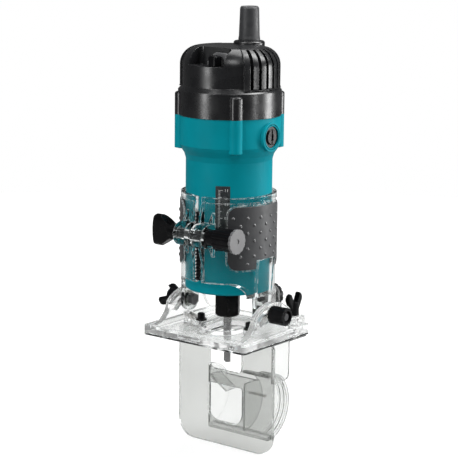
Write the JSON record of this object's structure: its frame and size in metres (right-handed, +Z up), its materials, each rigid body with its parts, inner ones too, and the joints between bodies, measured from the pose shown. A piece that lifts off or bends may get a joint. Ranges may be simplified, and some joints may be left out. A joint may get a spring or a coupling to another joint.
{
  "type": "trim router",
  "caption": "Upright trim router with a teal barrel, black ribbed head, clear tilting base and sleeve, side knobs, gripped sleeve and a clear edge guard with a chip scoop below the sole.",
  "frame": {"origin": "where the spindle axis meets the plane of the sole, in the bit opening", "axes": "+Z up the spindle axis towards the cord gland, +X to the operator's right along the depth knob's axis, -Y to the front"},
  "size_m": [0.115, 0.1007, 0.3262],
  "materials": {
    "clear_plastic": "clear moulded plastic",
    "sole_sheet": "thin clear sheet",
    "teal_plastic": "fine-grained teal plastic",
    "black_plastic": "fine-grained black plastic",
    "grey_plastic": "satin grey plastic",
    "grip_rubber": "soft dark rubber",
    "scale_print": "dark strip with light ticks",
    "bright_steel": "bright steel",
    "black_steel": "blackened steel",
    "lamination": "stacked steel sheet",
    "copper": "enamelled copper",
    "carbon": "pressed carbon"
  },
  "bodies": {
    "base": {"base_plate": "clear_plastic", "sole_protector": "sole_sheet", "sole_screws": "black_steel", "template_screws": "black_steel", "tilt_stop_screw": "bright_steel"},
    "sleeve": {"base_sleeve": "clear_plastic", "grip_left": "grip_rubber", "grip_right": "grip_rubber", "tilt_bolt_left": "black_steel", "tilt_bolt_right": "black_steel", "tilt_shims": "bright_steel", "tilt_washers": "bright_steel", "clamp_washer": "bright_steel"},
    "motor": {"motor_housing": "teal_plastic", "housing_screws": "black_steel", "scale_plate": "scale_print", "depth_rack": "black_plastic", "rear_cover": "black_plastic", "cord_guard": "grip_rubber", "cord_clamp": "black_plastic", "cord_clamp_screws": "black_steel", "switch_body": "black_plastic", "switch_frame": "grey_plastic", "field_core": "lamination", "field_coils": "copper", "lower_bearing_outer_race": "bright_steel", "upper_bearing_outer_race": "bright_steel", "bearing_retainer": "bright_steel", "brush_holders": "black_plastic", "carbon_brush_left": "carbon", "carbon_brush_right": "carbon", "brush_springs": "bright_steel", "brush_cap_left": "black_plastic", "brush_cap_right": "black_plastic"},
    "spindle": {"spindle_shaft": "bright_steel", "lower_bearing_inner_race": "bright_steel", "upper_bearing_inner_race": "bright_steel", "armature_core": "lamination", "armature_windings": "copper", "commutator": "copper", "commutator_hub": "black_plastic", "cooling_fan": "black_plastic", "collet": "bright_steel", "collet_nut": "black_steel", "router_bit": "bright_steel"},
    "depth_drive": {"depth_pinion_shaft": "black_steel", "depth_knob": "black_plastic", "depth_knob_cap": "grey_plastic"},
    "clamp_wing_nut": {"clamp_wing": "black_plastic"},
    "tilt_knob": {"tilt_knob_right": "black_plastic"},
    "tilt_wing": {"tilt_wing_left": "black_plastic"},
    "rod_wing": {"rod_clamp_wing": "black_plastic"},
    "switch_slider": {"switch_lever": "black_plastic"},
    "guard": {"guard_carrier": "clear_plastic", "guard_plate": "clear_plastic", "chip_scoop": "clear_plastic", "scoop_baffles": "clear_plastic", "guard_pin": "bright_steel"},
    "guard_screw": {"guard_knob": "black_plastic", "guard_knob_screw": "black_steel"}
  },
  "joints": [
    {"name": "base_tilt", "type": "hinge", "parent": "base", "child": "sleeve", "pos_m": [0, 0, 0], "axis": [1, 0, 0], "range_deg": [0, 30]},
    {"name": "motor_height", "type": "slide", "parent": "sleeve", "child": "motor", "axis": [0, 0, 1], "range_m": [-0.006, 0.02]},
    {"name": "spindle_turn", "type": "hinge", "parent": "motor", "child": "spindle", "pos_m": [0, 0, 0.1], "axis": [0, 0, 1], "continuous": true},
    {"name": "depth_turn", "type": "hinge", "parent": "sleeve", "child": "depth_drive", "pos_m": [0, -0.04, 0.0808], "axis": [1, 0, 0], "range_deg": [-86, 287]},
    {"name": "clamp_turn", "type": "hinge", "parent": "sleeve", "child": "clamp_wing_nut", "pos_m": [-0.025, -0.04, 0.0808], "axis": [1, 0, 0], "range_deg": [0, 90]},
    {"name": "tilt_knob_turn", "type": "hinge", "parent": "sleeve", "child": "tilt_knob", "pos_m": [0.05, -0.00313, 0.02228], "axis": [1, 0, 0], "range_deg": [0, 180]},
    {"name": "tilt_wing_turn", "type": "hinge", "parent": "sleeve", "child": "tilt_wing", "pos_m": [-0.05, -0.00313, 0.02228], "axis": [1, 0, 0], "range_deg": [0, 90]},
    {"name": "rod_wing_turn", "type": "hinge", "parent": "base", "child": "rod_wing", "pos_m": [0.0405, 0.027, 0.02], "axis": [0, 0, 1], "range_deg": [0, 90]},
    {"name": "switch_slide", "type": "slide", "parent": "motor", "child": "switch_slider", "axis": [1, 0, 0], "range_m": [-0.003, 0.003]},
    {"name": "guard_slide", "type": "slide", "parent": "base", "child": "guard", "axis": [0, 0, 1], "range_m": [-0.006, 0]},
    {"name": "guard_knob_turn", "type": "hinge", "parent": "base", "child": "guard_screw", "pos_m": [0.005, 0.045, 0.0215], "axis": [0, 1, 0], "range_deg": [0, 180]}
  ],
  "couplings": [
    {"joint": "depth_turn", "follows": "motor_height", "rad_per_m": 250}
  ]
}
